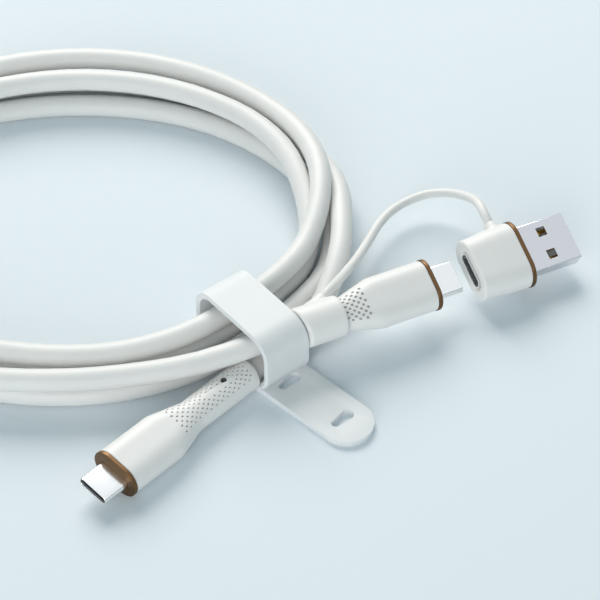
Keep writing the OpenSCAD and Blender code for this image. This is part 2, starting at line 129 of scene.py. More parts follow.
# Where the first relief lets go of the cord, and where the sleeve takes it, beside the strap.
CORD_START = strap_point(-STRAP_W / 2 - 0.65, 5.8, 3.9)
COLLAR_START = strap_point(STRAP_W / 2 + 1.1, 7.6, 10.8)
START_DIR = heading(PLUG_A_YAW, PLUG_A_LIFT)
END_DIR = heading(PLUG_B_YAW, PLUG_B_DROP)
PLUG_A = (Matrix.Translation(CORD_START) @ turn("Z", PLUG_A_YAW + 180)
          @ turn("Y", -PLUG_A_LIFT) @ turn("X", -PLUG_A_ROLL) @ shift(BODY_L + RELIEF_L))
PLUG_B = (Matrix.Translation(COLLAR_START) @ turn("Z", PLUG_B_YAW) @ turn("Y", PLUG_B_DROP)
          @ turn("X", PLUG_B_ROLL) @ shift(COLLAR_L + COLLAR_FROM + BODY_L))
ADAPTER_AT = PLUG_B @ shift(SHELL_L + ADAPTER_GAP)
STRAP_AT = turn("Z", STRAP_YAW - 90)


# ---------------------------------------------------------------- routes of the cords

def smooth(x):
    """0 to 1 in an S-shaped step."""
    c = max(0.0, min(1.0, x))
    return c * c * (3 - 2 * c)


def bump(x, at, reach):
    """1 at a place, and 0 further than reach from it."""
    return 1 - smooth(abs(x - at) / reach)


def oval(angle):
    """A point of the coil's middle line, seen from the oval's own middle."""
    a = math.radians(angle)
    return Vector((COIL_HALF[0] * math.cos(a), COIL_HALF[1] * math.sin(a), 0))


def oval_out(angle):
    """The direction square to the coil's middle line, outwards."""
    a = math.radians(angle)
    return Vector((math.cos(a) / COIL_HALF[0], math.sin(a) / COIL_HALF[1], 0)).normalized()


COIL_CENTRE = -(oval(TIE_ANGLE) + TIE_OUT * oval_out(TIE_ANGLE))


def block_place(index, t, cord_d):
    """A turn's place in the block of two by two, which rolls a quarter turn, and that roll."""
    roll = 90 * smooth((t - ROLL_FROM) / ROLL_SPAN)
    a = math.radians(45 - 90 * index - roll)
    corner = PITCH / math.sqrt(2)
    up = corner * (math.sin(a) + math.cos(math.radians(45 - roll)))
    return corner * math.cos(a), cord_d / 2 + up, roll


def lane(index, t, cord_d):
    """How far outside the middle line a turn lies, and how high, at fraction t of its way."""
    out, up, roll = block_place(index, t, cord_d)
    if index == 0 and t < CLIMB_TO:
        out, up, roll = block_place(1, t, cord_d)
        climb = smooth((t - CLIMB_FROM) / CLIMB_SPAN)
        room = PITCH + CLIMB_ROOM * math.sin(math.pi * climb)
        rise = math.radians(90 - roll) * climb
        out, up = out + room * math.cos(rise), up + room * math.sin(rise)
    lean = sum(amounts[index] * bump(t, middle, reach) for middle, reach, amounts in LEANS)
    sway = SWAY_OUT * bump(t, SWAY_AT, SWAY_REACH)
    lift = (STRAP_T + STRAP_SLACK) * (1 - smooth(min(t, 1 - t) / LIFT_SPAN))
    leave = smooth((t - LEAVE_FROM) / LEAVE_SPAN) if index == TURNS - 1 else 0
    return out + lean + sway + LEAVE_OUT * leave, up + lift + LEAVE_UP * leave


def coil_point(s, cord_d):
    """The cord's middle after s turns."""
    index = min(TURNS - 1, int(s))
    t = s - index
    angle = TIE_ANGLE + 360 * t
    out, up = lane(index, t, cord_d)
    return COIL_CENTRE + oval(angle) + out * oval_out(angle) + Vector((0, 0, up))


def coil_route(cord_d):
    """The long cord's route, from the first relief's end to the sleeve."""
    end = COLLAR_START + COLLAR_WALL * END_DIR
    steps = range(1, TURNS * POINTS_PER_TURN)
    return [CORD_START, CORD_START + cord_d * START_DIR,
            *[coil_point(i / POINTS_PER_TURN, cord_d) for i in steps],
            end - (cord_d + COLLAR_WALL) * END_DIR, end]


def tether_route(tether_d):
    """The tether's route, from the sleeve's branch to the adapter's root."""
    start = BRANCH_AT + BRANCH_L * BRANCH_DIR
    root = Vector((SHELL_L + ADAPTER_GAP + ROOT_X, ROOT_Y + ROOT_L, 0))
    # Its loop beside the plug, in the plug's own frame.
    free = [(-20.2, 8.4, -2.5), (-15.7, 10.9, -5.1), (-10.2, 14.2, -8.2), (-4.7, 18, -11.3),
            (0.8, 22, -13.8), (6.3, 24.8, -15.3), (12, 26, -15.6), (16.9, 25.6, -14.3),
            (20.3, 23.3, -11.3), (21.8, 20.2, -7.5), (21.9, 17.2, -3.9), (21.1, 14.4, -1.2)]
    local = [start, start + tether_d * BRANCH_DIR, *map(Vector, free),
             root + Vector((0, tether_d, 0)), root]
    return [PLUG_B @ point for point in local]


def eased(points, steps):
    """A smooth line through points, with steps stretches between each two."""
    ends = [2 * points[0] - points[1], *points, 2 * points[-1] - points[-2]]
    line = []
    for a, b, c, d in zip(ends, ends[1:], ends[2:], ends[3:]):
        for i in range(steps):
            t = i / steps
            line.append(0.5 * (2 * b + t * (c - a) + t * t * (2 * a - 5 * b + 4 * c - d)
                               + t ** 3 * (3 * b - a - 3 * c + d)))
    return [*line, points[-1]]


# ---------------------------------------------------------------- materials

def linear(code):
    """An sRGB hex colour as linear RGBA."""
    values = [int(code[i:i + 2], 16) / 255 for i in (0, 2, 4)]
    return (*[v / 12.92 if v <= 0.04045 else ((v + 0.055) / 1.055) ** 2.4
              for v in values], 1.0)


def add(tree, kind, settings=None, links=None):
    """Adds a node with its settings, and links its inputs."""
    node = tree.nodes.new(kind)
    for name, value in (settings or {}).items():
        if name in node.inputs:
            node.inputs[name].default_value = value
        else:
            setattr(node, name, value)
    for name, socket in (links or {}).items():
        tree.links.new(socket, node.inputs[name])
    return node


def surface(name):
    """A new material's tree with its shader and object coordinates."""
    material = bpy.data.materials.new(name)
    material.use_nodes = True
    tree = material.node_tree
    tree.nodes.clear()
    shader = add(tree, "ShaderNodeBsdfPrincipled")
    add(tree, "ShaderNodeOutputMaterial", links={"Surface": shader.outputs[0]})
    return tree, shader, add(tree, "ShaderNodeTexCoord").outputs["Object"]


def noise(tree, place, scale, detail):
    """A noise over the object, as a value."""
    return add(tree, "ShaderNodeTexNoise", {"Scale": scale, "Detail": detail},
               {"Vector": place}).outputs["Fac"]


def blended(tree, light, shade, factor):
    """A colour between two, by a value."""
    node = add(tree, "ShaderNodeMix", {"data_type": "RGBA"}, {"Factor": factor})
    node.inputs[COLOUR_A].default_value = light
    node.inputs[COLOUR_B].default_value = shade
    return node.outputs[COLOUR_MIXED]


def worked(tree, shader, colour, specks, glosses, strength, relief):
    """Gives a shader its colour, and the gloss and the bumps of its specks."""
    gloss = add(tree, "ShaderNodeMapRange", {"To Min": glosses[0], "To Max": glosses[1]},
                {"Value": specks})
    bumps = add(tree, "ShaderNodeBump", {"Strength": strength, "Distance": relief},
                {"Height": specks})
    for socket, source in (("Base Color", colour), ("Roughness", gloss.outputs["Result"]),
                           ("Normal", bumps.outputs["Normal"])):
        tree.links.new(source, shader.inputs[socket])


def moulded(name, light, shade, roughness, grain, relief):
    """A moulded plastic: a slow drift of tone, and a fine grain left by the mould."""
    cloud = 0.009
    tree, shader, place = surface(name)
    colour = blended(tree, light, shade, noise(tree, place, 1 / cloud, 2.0))
    worked(tree, shader, colour, noise(tree, place, 1 / grain, 3.0),
           (roughness - 0.06, roughness + 0.06), 0.5, relief)


def plated(name, light, shade, roughness, grain, relief):
    """A metal whose plating or dye leaves a fine mottle in its tone and gloss."""
    tree, shader, place = surface(name)
    shader.inputs["Metallic"].default_value = 1.0
    specks = noise(tree, place, 1 / grain, 4.0)
    worked(tree, shader, blended(tree, light, shade, specks), specks,
           (roughness - 0.05, roughness + 0.07), 0.25, relief)


def make_finishes():
    """Makes every finish: two tones, roughness, and the grain's size and height in metres."""
    mouldings = {
        # Thermoplastic elastomer, extruded: an even satin white with a dry, faintly dusty sheen.
        "satin_tpe_jacket": ("EDECEA", "E7E6E4", 0.46, 0.00022, 0.00001),
        # The same elastomer overmoulded in a blasted tool: slightly finer and drier.
        "blasted_tpe_moulding": ("F2F0EE", "EDEBE9", 0.42, 0.00016, 0.000008),
        # Floors of the first relief's pressed pits: painted shade, a dark grey that stands in for the
        # shadow in the pits.
        "pit_shade": ("6E6C6A", "5E5C5A", 0.6, 0.0001, 0.000004),
        # Floors of the second relief's wider pits: painted shade, a lighter grey than the first's, as
        # wider pits catch more light.
        "knurl_shade": ("B4B2AF", "A6A4A1", 0.6, 0.0001, 0.000004),
        # Inside of the round hole: painted shade, a grey that stands in for the dark between relief
        # and cord.
        "hole_shade": ("7E7C7A", "6E6C6A", 0.6, 0.0001, 0.000004),
        # Liquid silicone rubber: cool grey white, soft, from a finely blasted mould.
        "silicone_strap": ("EBEDEE", "E6E8EA", 0.5, 0.0003, 0.00001),
        # Glass-filled liquid crystal polymer: the plugs' contact carriers, injection moulded.
        "black_lcp": ("2C2D30", "1E1F21", 0.4, 0.00012, 0.000004),
        # The same polymer in grey: the tongue of the adapter's socket.
        "grey_lcp": ("9EA0A3", "8E9093", 0.42, 0.00012, 0.000004),
        # White nylon of the flat plug's contact carrier, injection moulded.
        "white_nylon": ("E7E7E3", "DDDDD8", 0.4, 0.00012, 0.000004),
        # Polypropylene of the inner moulds, shot round the cards at low pressure.
        "inner_mould_pp": ("C9CBCC", "BDBFC0", 0.5, 0.0002, 0.000006),
        # The bundle of wires, foil and braid in a relief, twisted and wrapped.
        "cord_core": ("8B8D90", "77797C", 0.6, 0.0002, 0.00001),
        # Glass epoxy laminate under a green solder mask.
        "green_fr4": ("2E7A50", "26683F", 0.35, 0.0003, 0.000004),
        # Epoxy package of the chips, transfer moulded.
        "epoxy_chip": ("26282A", "1D1F20", 0.55, 0.0001, 0.000004),
    }
    metals = {
        # Nickel-plated steel, deep drawn: a bright cool white with a faint mottle.
        "nickel_shell": ("FAFAF8", "F0F1F2", 0.2, 0.0004, 0.000002),
        # The folded shell of the flat plug: the same nickel on rolled strip, a shade greyer.
        "nickel_strip": ("DCDDE0", "D2D3D7", 0.24, 0.0004, 0.000002),
        # Anodised aluminium in a copper brown, bead blasted before dyeing.
        "copper_anodised": ("7A5F42", "68503A", 0.42, 0.0003, 0.000004),
        # Gold over nickel on the stamped bronze contacts.
        "gold_contact": ("E3B25A", "D29F45", 0.25, 0.0003, 0.000002),
    }
    for make, finishes in ((moulded, mouldings), (plated, metals)):
        for name, (light, shade, *rest) in finishes.items():
            make(name, linear(light), linear(shade), *rest)


# ---------------------------------------------------------------- mesh helpers

def outline(width, height, radius, count):
    """Points and outward directions evenly round a rectangle with round corners.

    The first is the middle of the right side, and they go anticlockwise.
    """
    w, h = width / 2 - radius, height / 2 - radius
    arc = math.pi * radius / 2
    legs = [(h, (w, h), 0), (2 * w, (-w, h), 90), (2 * h, (-w, -h), 180),
            (2 * w, (w, -h), 270), (h, None, 360)]
    total = 4 * (w + h) + 4 * arc
    found = []
    for k in range(count):
        left = total * k / count
        for straight, corner, angle in legs:
            out = Vector((math.cos(math.radians(angle)), math.sin(math.radians(angle))))
            if left <= straight or corner is None:
                along = Vector((-out.y, out.x))
                end = Vector(corner or (w, 0)) + radius * out
                found.append((end - (straight - left) * along, out))
                break
            left -= straight
            if left < arc:
                a = math.radians(angle + 90 * left / arc)
                out = Vector((math.cos(a), math.sin(a)))
                found.append((Vector(corner) + radius * out, out))
                break
            left -= arc
    return found


def stadium(x, width, thick, count=36):
    """A plug's section across X, flat above and below and round at its sides."""
    return [Vector((x, p.x, p.y)) for p, _ in outline(width, thick, thick / 2, count)]


def loft(bm, sections, closed=False):
    """Skins a row of sections, capped or closed to a loop, and returns their rings of vertices."""
    rings, loops = [], []
    for points in sections:
        ring = bmesh.ops.create_circle(bm, segments=len(points), radius=1)["verts"]
        for vert, point in zip(ring, points):
            vert.co = point
        rings.append(ring)
        loops.append(list({edge for vert in ring for edge in vert.link_edges}))
    pairs = list(zip(loops, loops[1:]))
    if closed:
        pairs.append((loops[-1], loops[0]))
    for first, second in pairs:
        bmesh.ops.bridge_loops(bm, edges=first + second)
    if not closed:
        bmesh.ops.contextual_create(bm, geom=loops[0])
        bmesh.ops.contextual_create(bm, geom=loops[-1])
    return rings


def meshed(name, bm, place, sharp=32):
    """Turns a bmesh in millimetres into an object at its place, smooth but for its edges."""
    bmesh.ops.recalc_face_normals(bm, faces=bm.faces)
    mesh = bpy.data.meshes.new(name)
    bm.to_mesh(mesh)
    bm.free()
    mesh.transform(Matrix.Scale(MM, 4) @ place)
    mesh.shade_smooth()
    mesh.set_sharp_from_angle(angle=math.radians(sharp))
    piece = bpy.data.objects.new(name, mesh)
    bpy.context.scene.collection.objects.link(piece)
    return piece


def settle(piece, sharp=32):
    """Applies a piece's modifiers to its mesh."""
    graph = bpy.context.evaluated_depsgraph_get()
    old = piece.data
    piece.data = bpy.data.meshes.new_from_object(piece.evaluated_get(graph))
    piece.data.name = piece.name
    piece.modifiers.clear()
    piece.data.shade_smooth()
    piece.data.set_sharp_from_angle(angle=math.radians(sharp))
    bpy.data.meshes.remove(old)


def carve(piece, cutters, sharp=32):
    """Cuts solids out of a piece."""
    for cutter in cutters:
        cut = piece.modifiers.new("cut", "BOOLEAN")
        cut.operation, cut.solver, cut.object = "DIFFERENCE", "EXACT", cutter
    settle(piece, sharp)
    for cutter in cutters:
        bpy.data.objects.remove(cutter)


def rounded(piece, width, angle=35):
    """Rounds a piece's edges that are sharper than an angle."""
    edge = piece.modifiers.new("rounding", "BEVEL")
    edge.width, edge.segments = width * MM, 3
    edge.limit_method, edge.angle_limit = "ANGLE", math.radians(angle)
    settle(piece)


def coat(piece, finishes):
    """Gives a piece its finishes, one for each slot of its faces."""
    for finish in finishes:
        piece.data.materials.append(bpy.data.materials[finish])


def dress(piece, finishes, body, slot, *nodes):
    """Gives a piece its finishes and the body it rides on, and hides the solids that it stands for."""
    if not piece.data.materials:
        coat(piece, finishes)
    if body:
        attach(piece, body)
    if nodes:
        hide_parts(*nodes)
    return piece


def copy_of(node, name):
    """A merged copy of a solid's mesh, to round and cut."""
    bm = bmesh.new()
    bm.from_mesh(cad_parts[node].data)
    bmesh.ops.scale(bm, vec=(1 / MM,) * 3, verts=bm.verts)
    bmesh.ops.remove_doubles(bm, verts=bm.verts, dist=0.0005)
    bmesh.ops.dissolve_limit(bm, angle_limit=math.radians(0.6), verts=bm.verts,
                             edges=bm.edges)
    return meshed(name, bm, Matrix.Identity(4))


def tube_curve(name, line, diameter, resolution):
    """A round curve of one open spline along a line."""
    curve = bpy.data.curves.new(name, "CURVE")
    curve.dimensions = "3D"
    curve.bevel_depth = diameter / 2 * MM
    curve.bevel_resolution = resolution
    curve.use_fill_caps = True
    spline = curve.splines.new("POLY")
    spline.points.add(len(line) - 1)
    for point, at in zip(spline.points, line):
        point.co = (*(at * MM), 1)
    spline.use_smooth = True
    piece = bpy.data.objects.new(name, curve)
    bpy.context.scene.collection.objects.link(piece)
    return piece


# ---------------------------------------------------------------- settings

class CordSettings(bpy.types.PropertyGroup):
    """Sizes of the two cords."""

    cord_diameter: FloatProperty(
        name="Cord diameter", description="Diameter of the charging cord's jacket",
        default=0.0053, min=0.004, max=0.006, unit="LENGTH", precision=4)
    tether_diameter: FloatProperty(
        name="Tether diameter", description="Diameter of the adapter's tether",
        default=0.0022, min=0.0015, max=0.0025, unit="LENGTH", precision=4)


class DetailSettings(bpy.types.PropertyGroup):
    """Fine shapes of the mouldings, the strap and the metal parts."""

    pit_depth: FloatProperty(
        name="Pit depth", description="Depth of the pressed pits in a strain relief",
        default=0.00028, min=0.0001, max=0.0005, unit="LENGTH", precision=5)
    strap_edge: FloatProperty(
        name="Strap edge", description="Rounding of the silicone strap's edges",
        default=0.00035, min=0.0001, max=0.0006, unit="LENGTH", precision=5)
    metal_edge: FloatProperty(
        name="Metal edge", description="Rounding of the edges of shells and trim rings",
        default=0.00012, min=0.00005, max=0.0002, unit="LENGTH", precision=5)


class StageSettings(bpy.types.PropertyGroup):
    """Colours and distance of the stage."""

    floor_colour: FloatVectorProperty(
        name="Floor colour", description="Colour of the floor under the cable",
        subtype="COLOR", size=4, min=0, max=1, default=linear("E7EFF5"))
    camera_distance: FloatProperty(
        name="Camera distance", description="Distance from the camera to the cable",
        default=0.6, min=0.3, max=2.0, unit="LENGTH")


# ---------------------------------------------------------------- makers

class CABLE_OT_stage(bpy.types.Operator):
    """Makes the floor, the lights, the world and the camera"""

    bl_idname = "cable.stage"
    bl_label = "Make the Stage"

    def execute(self, context):
        settings = context.scene.cable_stage
        bm = bmesh.new()
        bmesh.ops.create_grid(bm, x_segments=1, y_segments=1, size=1500)
        floor = meshed("floor", bm, Matrix.Identity(4))
        tree, shader, place = surface("matt_paper_floor")
        shader.inputs["Roughness"].default_value = 0.9
        shader.inputs["Specular IOR Level"].default_value = 0.1
        colour = blended(tree, settings.floor_colour, linear("EAF1F6"), noise(tree, place, 9.0, 2.0))
        tree.links.new(colour, shader.inputs["Base Color"])
        coat(floor, ["matt_paper_floor"])

        for name, at, size, power, colour in (
                ("key_light", (-0.28, 1.10, 0.94), 1.15, 19.6, "FFFAF5"),
                ("fill_light", (-0.40, -1.35, 0.48), 1.2, 11.0, "FFFDFB")):
            lamp = bpy.data.lights.new(name, "AREA")
            lamp.shape, lamp.size, lamp.energy = "DISK", size, power
            lamp.color = linear(colour)[:3]
            light = bpy.data.objects.new(name, lamp)
            light.location = at
            light.rotation_euler = (-Vector(at)).to_track_quat("-Z", "Y").to_euler()
            context.scene.collection.objects.link(light)

        world = bpy.data.worlds.new("pale_room")
        context.scene.world = world
        world.use_nodes = True
        tree = world.node_tree
        tree.nodes.clear()
        rays = add(tree, "ShaderNodeLightPath")
        seen = add(tree, "ShaderNodeMath", {"operation": "MAXIMUM"})
        tree.links.new(rays.outputs["Is Camera Ray"], seen.inputs[0])
        tree.links.new(rays.outputs["Is Glossy Ray"], seen.inputs[1])
        either = add(tree, "ShaderNodeMath", {"operation": "MAXIMUM"})
        tree.links.new(seen.outputs[0], either.inputs[0])
        tree.links.new(rays.outputs["Is Transmission Ray"], either.inputs[1])
        room = add(tree, "ShaderNodeBackground", {"Color": linear("D6EFF4"), "Strength": 0.38})
        # What shiny pieces see: a pale sweep, with the dark of the room low round its edge.
        way = add(tree, "ShaderNodeSeparateXYZ",
                  links={"Vector": add(tree, "ShaderNodeTexCoord").outputs["Generated"]})
        height = add(tree, "ShaderNodeMapRange", {"From Min": 0.12, "From Max": 0.3},
                     {"Value": way.outputs["Z"]})
        sweep = blended(tree, linear("6E7478"), linear("F1F6FA"), height.outputs["Result"])
        backdrop = add(tree, "ShaderNodeBackground", {"Strength": 1.0}, {"Color": sweep})
        mixed = add(tree, "ShaderNodeMixShader", links={"Fac": either.outputs[0]})
        tree.links.new(room.outputs[0], mixed.inputs[1])
        tree.links.new(backdrop.outputs[0], mixed.inputs[2])
        add(tree, "ShaderNodeOutputWorld", links={"Surface": mixed.outputs[0]})

        camera = bpy.data.cameras.new("camera")
        camera.sensor_width, camera.lens = 36.0, 153.0
        camera.clip_start, camera.clip_end = 0.01, 10.0
        view = bpy.data.objects.new("camera", camera)
        looked_at = Vector((0.010, 0.0185, 0))
        back = Vector((0, -math.sqrt(0.5), math.sqrt(0.5)))
        view.location = looked_at + settings.camera_distance * back
        view.rotation_euler = (-back).to_track_quat("-Z", "Y").to_euler()
        context.scene.collection.objects.link(view)
        context.scene.camera = view
        context.scene.view_settings.view_transform = "Standard"
        return {"FINISHED"}


class CABLE_OT_cords(bpy.types.Operator):
    """Winds the charging cord and lays the adapter's tether"""

    bl_idname = "cable.cords"
    bl_label = "Make the Cords"

    def execute(self, context):
        settings = context.scene.cable_cords
        cord_d = settings.cord_diameter / MM
        tether_d = settings.tether_diameter / MM
        line = eased(coil_route(cord_d), steps=3)
        jacket = tube_curve("cord_jacket", line, cord_d, resolution=5)
        dress(jacket, ["satin_tpe_jacket"], CABLE, "jacket", "cable_coil")

        line = eased(tether_route(tether_d), steps=4)
        curve = tube_curve("tether_curve", line, tether_d, resolution=4)
        graph = context.evaluated_depsgraph_get()
        mesh = bpy.data.meshes.new_from_object(curve.evaluated_get(graph))
        bpy.data.objects.remove(curve)
        tether = bpy.data.objects.new("tether", mesh)
        context.scene.collection.objects.link(tether)
        dress(tether, ["satin_tpe_jacket"], None, "jacket", "tether_cord")
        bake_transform(tether)
        return {"FINISHED"}


def relief_size(back):
    """A relief's width and thickness at a distance behind its grip."""
    if back < RELIEF_BLEND:
        f = back / RELIEF_BLEND
        return BODY_W + (RELIEF_ROOT_D - BODY_W) * f, BODY_T + (RELIEF_ROOT_D - BODY_T) * f
    f = (back - RELIEF_BLEND) / (RELIEF_L - RELIEF_BLEND)
    return (RELIEF_ROOT_D + (RELIEF_END_D - RELIEF_ROOT_D) * f,) * 2


def relief_rings(length):
    """Sections of a strain relief, one for each row of pits."""
    rows = int((length - PIT_MARGIN) / PIT_STEP)
    backs = [i * PIT_STEP for i in range(1, rows + 1)]
    return [stadium(-BODY_L - back, *relief_size(back)) for back in backs]


def press_pits(bm, rings, rows, bare, depth, pointed):
    """Presses staggered rows of small pits into the top and the underside of a relief.

    The bare ones of its faces stay whole, and pointed pits narrow towards the plug.
    """
    faces = {frozenset(face.verts): face for face in bm.faces}
    pits = []
    for i in rows:
        for k in PIT_FACES:
            if (i + k) % 2 == 0 and (i, k) not in bare:
                corners = rings[i][k], rings[i][k + 1], rings[i + 1][k], rings[i + 1][k + 1]
                pits.append(faces[frozenset(corners)])
    bmesh.ops.inset_individual(bm, faces=pits, thickness=PIT_RIM, use_even_offset=True)
    if pointed:
        for face in pits:
            tip = sorted(face.verts, key=lambda vert: vert.co.x)[-2:]
            bmesh.ops.pointmerge(bm, verts=tip, merge_co=(tip[0].co + tip[1].co) / 2)
    bmesh.ops.inset_individual(bm, faces=pits, thickness=PIT_SLOPE, depth=-depth,
                               use_even_offset=True)
    # The pits' floors take the second finish, a painted shade.
    for face in pits:
        face.material_index = 1


class CABLE_OT_mouldings(bpy.types.Operator):
    """Moulds the two grips with their strain reliefs"""

    bl_idname = "cable.mouldings"
    bl_label = "Make the Plug Mouldings"

    def execute(self, context):
        depth = context.scene.cable_details.pit_depth / MM
        under_sleeve = COLLAR_FROM + COLLAR_L - COLLAR_WALL
        for tag, place, length in (("a", PLUG_A, RELIEF_L), ("b", PLUG_B, under_sleeve)):
            first_plug = tag == "a"
            bm = bmesh.new()
            # A chamfer beside the trim ring, straight sides, and a slight narrowing before the relief.
            grip = [stadium(-RING_L, BODY_W - 0.3, BODY_T - 0.3),
                    stadium(-RING_L - 0.15, BODY_W, BODY_T),
                    stadium(-BODY_L + 0.5, BODY_W, BODY_T),
                    stadium(-BODY_L, BODY_W - 0.06, BODY_T - 0.01)]
            relief = relief_rings(length)
            end_d = relief_size(length)[0]
            # The relief's rounded end: distance before the end, and what the diameter loses there.
            rim = [stadium(-BODY_L - length + back, end_d - less, end_d - less)
                   for back, less in ((0.4, 0.0), (0.12, 0.12), (0.0, 0.5))]
            rings = loft(bm, [*grip, *relief, *rim])
            first = len(grip) + 1
            rows = range(first + 1, first + (len(relief) - 2 if first_plug else SECOND_PLUG_ROWS))
            bare = {(first + i, k) for i in GROOVE_ROWS for k in GROOVE_FACES if first_plug}
            press_pits(bm, rings, rows, bare, depth, pointed=first_plug)
            grip_piece = meshed(f"grip_{tag}", bm, place, sharp=28)
            # The pits' floors and the hole's inside take finishes of painted shade.
            pit = "pit_shade" if first_plug else "knurl_shade"
            finishes = ["blasted_tpe_moulding", pit, "hole_shade"]
            coat(grip_piece, finishes)
            if first_plug:
                self.cut_groove(grip_piece, place, finishes)
            dress(grip_piece, finishes, CABLE, "moulding",
                  f"plug_{tag}_body", f"plug_{tag}_relief")
        return {"FINISHED"}

    @staticmethod
    def cut_groove(piece, place, finishes):
        """Cuts the tapered groove along the first relief, and the round hole at its end.

        Both lie straight up, whatever the plug's roll.
        """
        place = place @ turn("X", PLUG_A_ROLL)
        bm = bmesh.new()
        # It widens and deepens towards the cord: place, width and thickness of each section.
        skin = Vector((0, 0, RELIEF_ROOT_D / 2 + 0.04))
        loft(bm, [[skin + p for p in stadium(x, width, thick, 16)] for x, width, thick in (
            (-27.6, 0.5, 0.12), (-30.6, 0.8, 0.4), (-34.0, 1.1, 0.8))])
        cutter = meshed("groove", bm, place)
        bm = bmesh.new()
        bmesh.ops.create_cone(bm, cap_ends=True, segments=24, radius1=HOLE_R, radius2=HOLE_R,
                              depth=HOLE_L)
        bmesh.ops.translate(bm, verts=bm.verts, vec=(HOLE_X, 0, HOLE_Z))
        # The hole's inside takes the third finish, a painted shade.
        for face in bm.faces:
            face.material_index = 2
        cutters = [cutter, meshed("hole", bm, place)]
        for cutter in cutters:
            coat(cutter, finishes)
        carve(piece, cutters, sharp=28)


class CABLE_OT_sleeve(bpy.types.Operator):
    """Moulds the sleeve that carries the tether's branch"""

    bl_idname = "cable.sleeve"
    bl_label = "Make the Tether Sleeve"

    def execute(self, context):
        tether_d = context.scene.cable_cords.tether_diameter / MM
        back, front = -BODY_L - COLLAR_FROM - COLLAR_L, -BODY_L - COLLAR_FROM
        # The rounded edge beside the strap: gap to the strap and diameter.
        sheared = [self.beside_strap(stadium(back, d, d, 40), gap) for gap, d in (
            (0.15, COLLAR_D - 1.0), (0.35, COLLAR_D - 0.3), (0.8, COLLAR_D))]
        # The straight rest and the rounded edge beside the grip: place and diameter.
        straight = [stadium(x, d, d, 40) for x, d in (
            (back + 3.6, COLLAR_D), (front - 0.5, COLLAR_D), (front - 0.12, COLLAR_D - 0.2),
            (front, COLLAR_D - 0.7))]
        bm = bmesh.new()
        loft(bm, [*sheared, *straight])
        angle = math.degrees(math.atan2(BRANCH_DIR.y, BRANCH_DIR.x))
        branch = Matrix.Translation(BRANCH_AT) @ turn("Z", angle)
        # The branch narrows from the sleeve's flank to the tether: place and diameter.
        loft(bm, [[branch @ p for p in stadium(x, d, d, 24)] for x, d in (
            (-2.0, 5.2), (0.6, 4.8), (2.0, 4.0), (3.4, 3.3), (BRANCH_L - 0.3, tether_d + 0.85),
            (BRANCH_L, tether_d + 0.4))])
        sleeve = meshed("tether_sleeve", bm, PLUG_B)
        fused = sleeve.modifiers.new("fused", "REMESH")
        fused.mode, fused.voxel_size, fused.use_smooth_shade = "VOXEL", 0.16 * MM, True
        eased_skin = sleeve.modifiers.new("eased", "SMOOTH")
        eased_skin.factor, eased_skin.iterations = 0.5, 8
        settle(sleeve, sharp=60)
        dress(sleeve, ["blasted_tpe_moulding"], CABLE, "moulding", "tether_collar")
        return {"FINISHED"}

    @staticmethod
    def beside_strap(points, gap):
        """Slides a section's points along the plug, to a plane beside the strap's edge."""
        along = heading(STRAP_YAW, 0)
        edge = STRAP_W / 2 + gap
        return [p + Vector(((edge - (PLUG_B @ p).dot(along)) / END_DIR.dot(along), 0, 0))
                for p in points]


class CABLE_OT_strap(bpy.types.Operator):
    """Wraps the silicone strap round the bundle and lays its loose end"""

    bl_idname = "cable.strap"
    bl_label = "Make the Strap"

    def execute(self, context):
        edge = context.scene.cable_details.strap_edge / MM
        middle = Vector((LOOP_MID, 0, LOOP_H / 2 + STRAP_T))
        band = outline(STRAP_W, STRAP_T, edge, 28)
        middle_line = outline(LOOP_W + STRAP_T, LOOP_H + STRAP_T, LOOP_R + STRAP_T / 2, 84)
        sections = []
        for point, out in middle_line:
            at = middle + Vector((point.x, 0, point.y))
            sections.append([at + Vector((q.y * out.x, q.x, q.y * out.y)) for q, _ in band])
        bm = bmesh.new()
        loft(bm, sections, closed=True)
        loop = meshed("strap_loop", bm, STRAP_AT, sharp=50)

        bm = bmesh.new()
        # Its end is a half round, a hair less so that the outline keeps a straight leg.
        plate = outline(2 * TAIL_L, STRAP_W, STRAP_W / 2 - 0.01, 160)
        loft(bm, [[Vector((max(p.x, -TAIL_BACK), p.y, z)) for p, _ in plate]
                  for z in (0.0, STRAP_T)])
        place = STRAP_AT @ shift(0, -TAIL_SIDE) @ turn("Z", TAIL_TURN)
        tail = meshed("strap_tail", bm, place)
        for i in (0, 1):
            carve(tail, [self.keyhole(place, TAIL_L - KEYHOLE_EDGE - KEYHOLE_PITCH * i)])
        rounded(tail, edge, 50)
        for piece, nodes in ((loop, ("strap",)), (tail, ())):
            dress(piece, ["silicone_strap"], CABLE, "strap", *nodes)
        return {"FINISHED"}

    @staticmethod
    def keyhole(place, x):
        """A cutter for a slot across the strap, wide and round at one end, narrow at the other."""
        ends = ((KEYHOLE_L / 2 - KEYHOLE_WIDE_R, KEYHOLE_WIDE_R),
                (KEYHOLE_NARROW_R - KEYHOLE_L / 2, KEYHOLE_NARROW_R))
        ring, count = [], 40
        for i in range(count):
            angle = 2 * math.pi * i / count
            up, r = max(ends, key=lambda end: end[0] * math.sin(angle) + end[1])
            ring.append((x + r * math.cos(angle), up + r * math.sin(angle)))
        bm = bmesh.new()
        loft(bm, [[Vector((*point, z)) for point in ring] for z in (-1.0, STRAP_T + 1.0)])
        return meshed("keyhole", bm, place)


